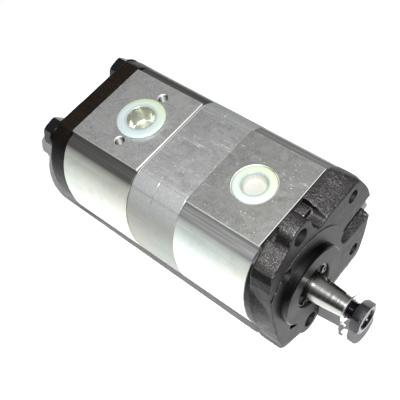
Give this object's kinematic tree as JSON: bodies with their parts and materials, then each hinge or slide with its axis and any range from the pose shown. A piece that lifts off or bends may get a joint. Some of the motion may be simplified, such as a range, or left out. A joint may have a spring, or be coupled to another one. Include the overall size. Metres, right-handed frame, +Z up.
{
  "type": "hydraulic gear pump",
  "caption": "tandem hydraulic gear pump with flanged cast front cover, tapered keyed drive shaft and side ports closed by transport plugs",
  "frame": {"origin": "bottom centre of the pump's bounding box", "axes": "+X along the drive shaft out of the mounting face, +Y from the drive axis towards the idler gears, +Z up out of the upper port faces"},
  "size_m": [0.237, 0.1052, 0.1212],
  "materials": {
    "cast_iron": "dark cast skin with machined faces",
    "rear_iron": "dark brown-black cast skin",
    "body_aluminium": "extruded and milled, lightly stained",
    "plate_aluminium": "milled, satin",
    "bearing_aluminium": "machined",
    "bush_metal": "plain bearing lining",
    "ground_steel": "ground",
    "nut_steel": "dark phosphate",
    "zinc_steel": "zinc plated sheet",
    "black_steel": "black oxide, oily",
    "rubber": "moulded rubber",
    "plug_plastic": "thin milky plastic"
  },
  "bodies": {
    "housing": {"front_cover": "cast_iron", "front_body": "body_aluminium", "middle_plate_front": "plate_aluminium", "middle_plate_rear": "plate_aluminium", "rear_body": "body_aluminium", "rear_cover": "rear_iron", "front_section_front_bearing_block": "bearing_aluminium", "front_section_front_drive_bush": "bush_metal", "front_section_front_idler_bush": "bush_metal", "front_section_rear_bearing_block": "bearing_aluminium", "front_section_rear_drive_bush": "bush_metal", "front_section_rear_idler_bush": "bush_metal", "rear_section_front_bearing_block": "bearing_aluminium", "rear_section_front_drive_bush": "bush_metal", "rear_section_front_idler_bush": "bush_metal", "rear_section_rear_bearing_block": "bearing_aluminium", "rear_section_rear_drive_bush": "bush_metal", "rear_section_rear_idler_bush": "bush_metal", "shaft_seal": "rubber", "retaining_ring": "black_steel", "front_body_front_seal": "rubber", "front_body_rear_seal": "rubber", "rear_body_front_seal": "rubber", "rear_body_rear_seal": "rubber", "middle_plate_seal": "rubber", "rear_port_plug_upper": "plug_plastic", "rear_port_plug_lower": "plug_plastic", "front_port_plug_upper": "plug_plastic", "front_port_plug_lower": "plug_plastic", "through_bolt_lower_drive_side": "black_steel", "bolt_washer_lower_drive_side": "black_steel", "through_bolt_upper_drive_side": "black_steel", "bolt_washer_upper_drive_side": "black_steel", "through_bolt_lower_idler_side": "black_steel", "bolt_washer_lower_idler_side": "black_steel", "through_bolt_upper_idler_side": "black_steel", "bolt_washer_upper_idler_side": "black_steel", "dowel_front_cover_drive_side": "ground_steel", "dowel_front_cover_idler_side": "ground_steel", "dowel_front_body_drive_side": "ground_steel", "dowel_front_body_idler_side": "ground_steel", "dowel_rear_body_drive_side": "ground_steel", "dowel_rear_body_idler_side": "ground_steel", "dowel_rear_cover_drive_side": "ground_steel", "dowel_rear_cover_idler_side": "ground_steel"},
    "drive": {"drive_shaft": "ground_steel", "shaft_nut": "nut_steel", "tab_washer": "zinc_steel", "coupling_sleeve": "ground_steel"},
    "front_idler": {"front_idler_gear": "ground_steel"},
    "rear_drive": {"rear_drive_gear": "ground_steel"},
    "rear_idler": {"rear_idler_gear": "ground_steel"}
  },
  "joints": [
    {"name": "drive_spin", "type": "hinge", "parent": "housing", "child": "drive", "pos_m": [0.0768, -0.0165, 0.06058], "axis": [1, 0, 0], "continuous": true},
    {"name": "front_idler_spin", "type": "hinge", "parent": "housing", "child": "front_idler", "pos_m": [0.0308, 0.0165, 0.06058], "axis": [1, 0, 0], "continuous": true},
    {"name": "rear_drive_spin", "type": "hinge", "parent": "housing", "child": "rear_drive", "pos_m": [-0.0617, -0.0165, 0.06058], "axis": [1, 0, 0], "continuous": true},
    {"name": "rear_idler_spin", "type": "hinge", "parent": "housing", "child": "rear_idler", "pos_m": [-0.0617, 0.0165, 0.06058], "axis": [1, 0, 0], "continuous": true}
  ],
  "couplings": [
    {"joint": "front_idler_spin", "follows": "drive_spin", "ratio": -1},
    {"joint": "rear_drive_spin", "follows": "drive_spin", "ratio": 1},
    {"joint": "rear_idler_spin", "follows": "drive_spin", "ratio": -1}
  ]
}
